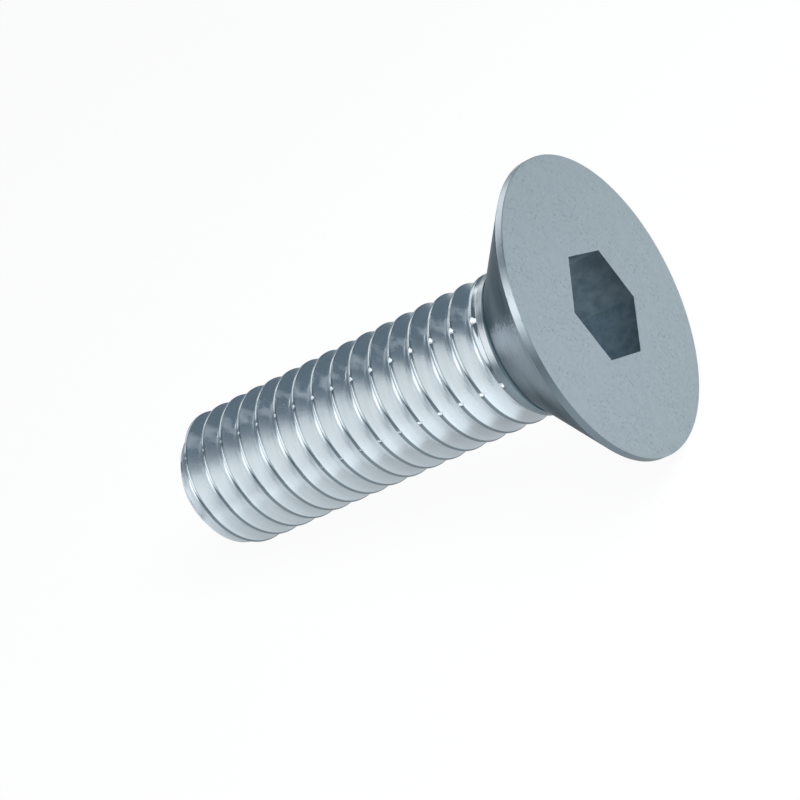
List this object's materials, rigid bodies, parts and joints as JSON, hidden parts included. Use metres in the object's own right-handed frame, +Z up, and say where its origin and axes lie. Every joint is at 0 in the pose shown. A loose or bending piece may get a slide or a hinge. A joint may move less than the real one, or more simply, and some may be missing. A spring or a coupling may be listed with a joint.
{
  "type": "countersunk socket screw",
  "caption": "Countersunk machine screw with a flat head, a hexagon socket and a full-length right-hand metric thread, lying on its side.",
  "frame": {"origin": "on the surface that the screw lies on, under the middle of its bounding box", "axes": "+X towards the head along the floor, +Z up; the screw's own axis lies in the XZ plane and rises towards the head by 9.4 degrees, because the wide head lifts that end"},
  "size_m": [0.021, 0.012, 0.0119],
  "materials": {
    "zinc_plated_steel": "bright zinc plating with a pale blue-grey cast, matt on the head's face, satin on the cone, brighter on the rolled thread"
  },
  "bodies": {
    "root": {"screw": "zinc_plated_steel"}
  },
  "joints": []
}
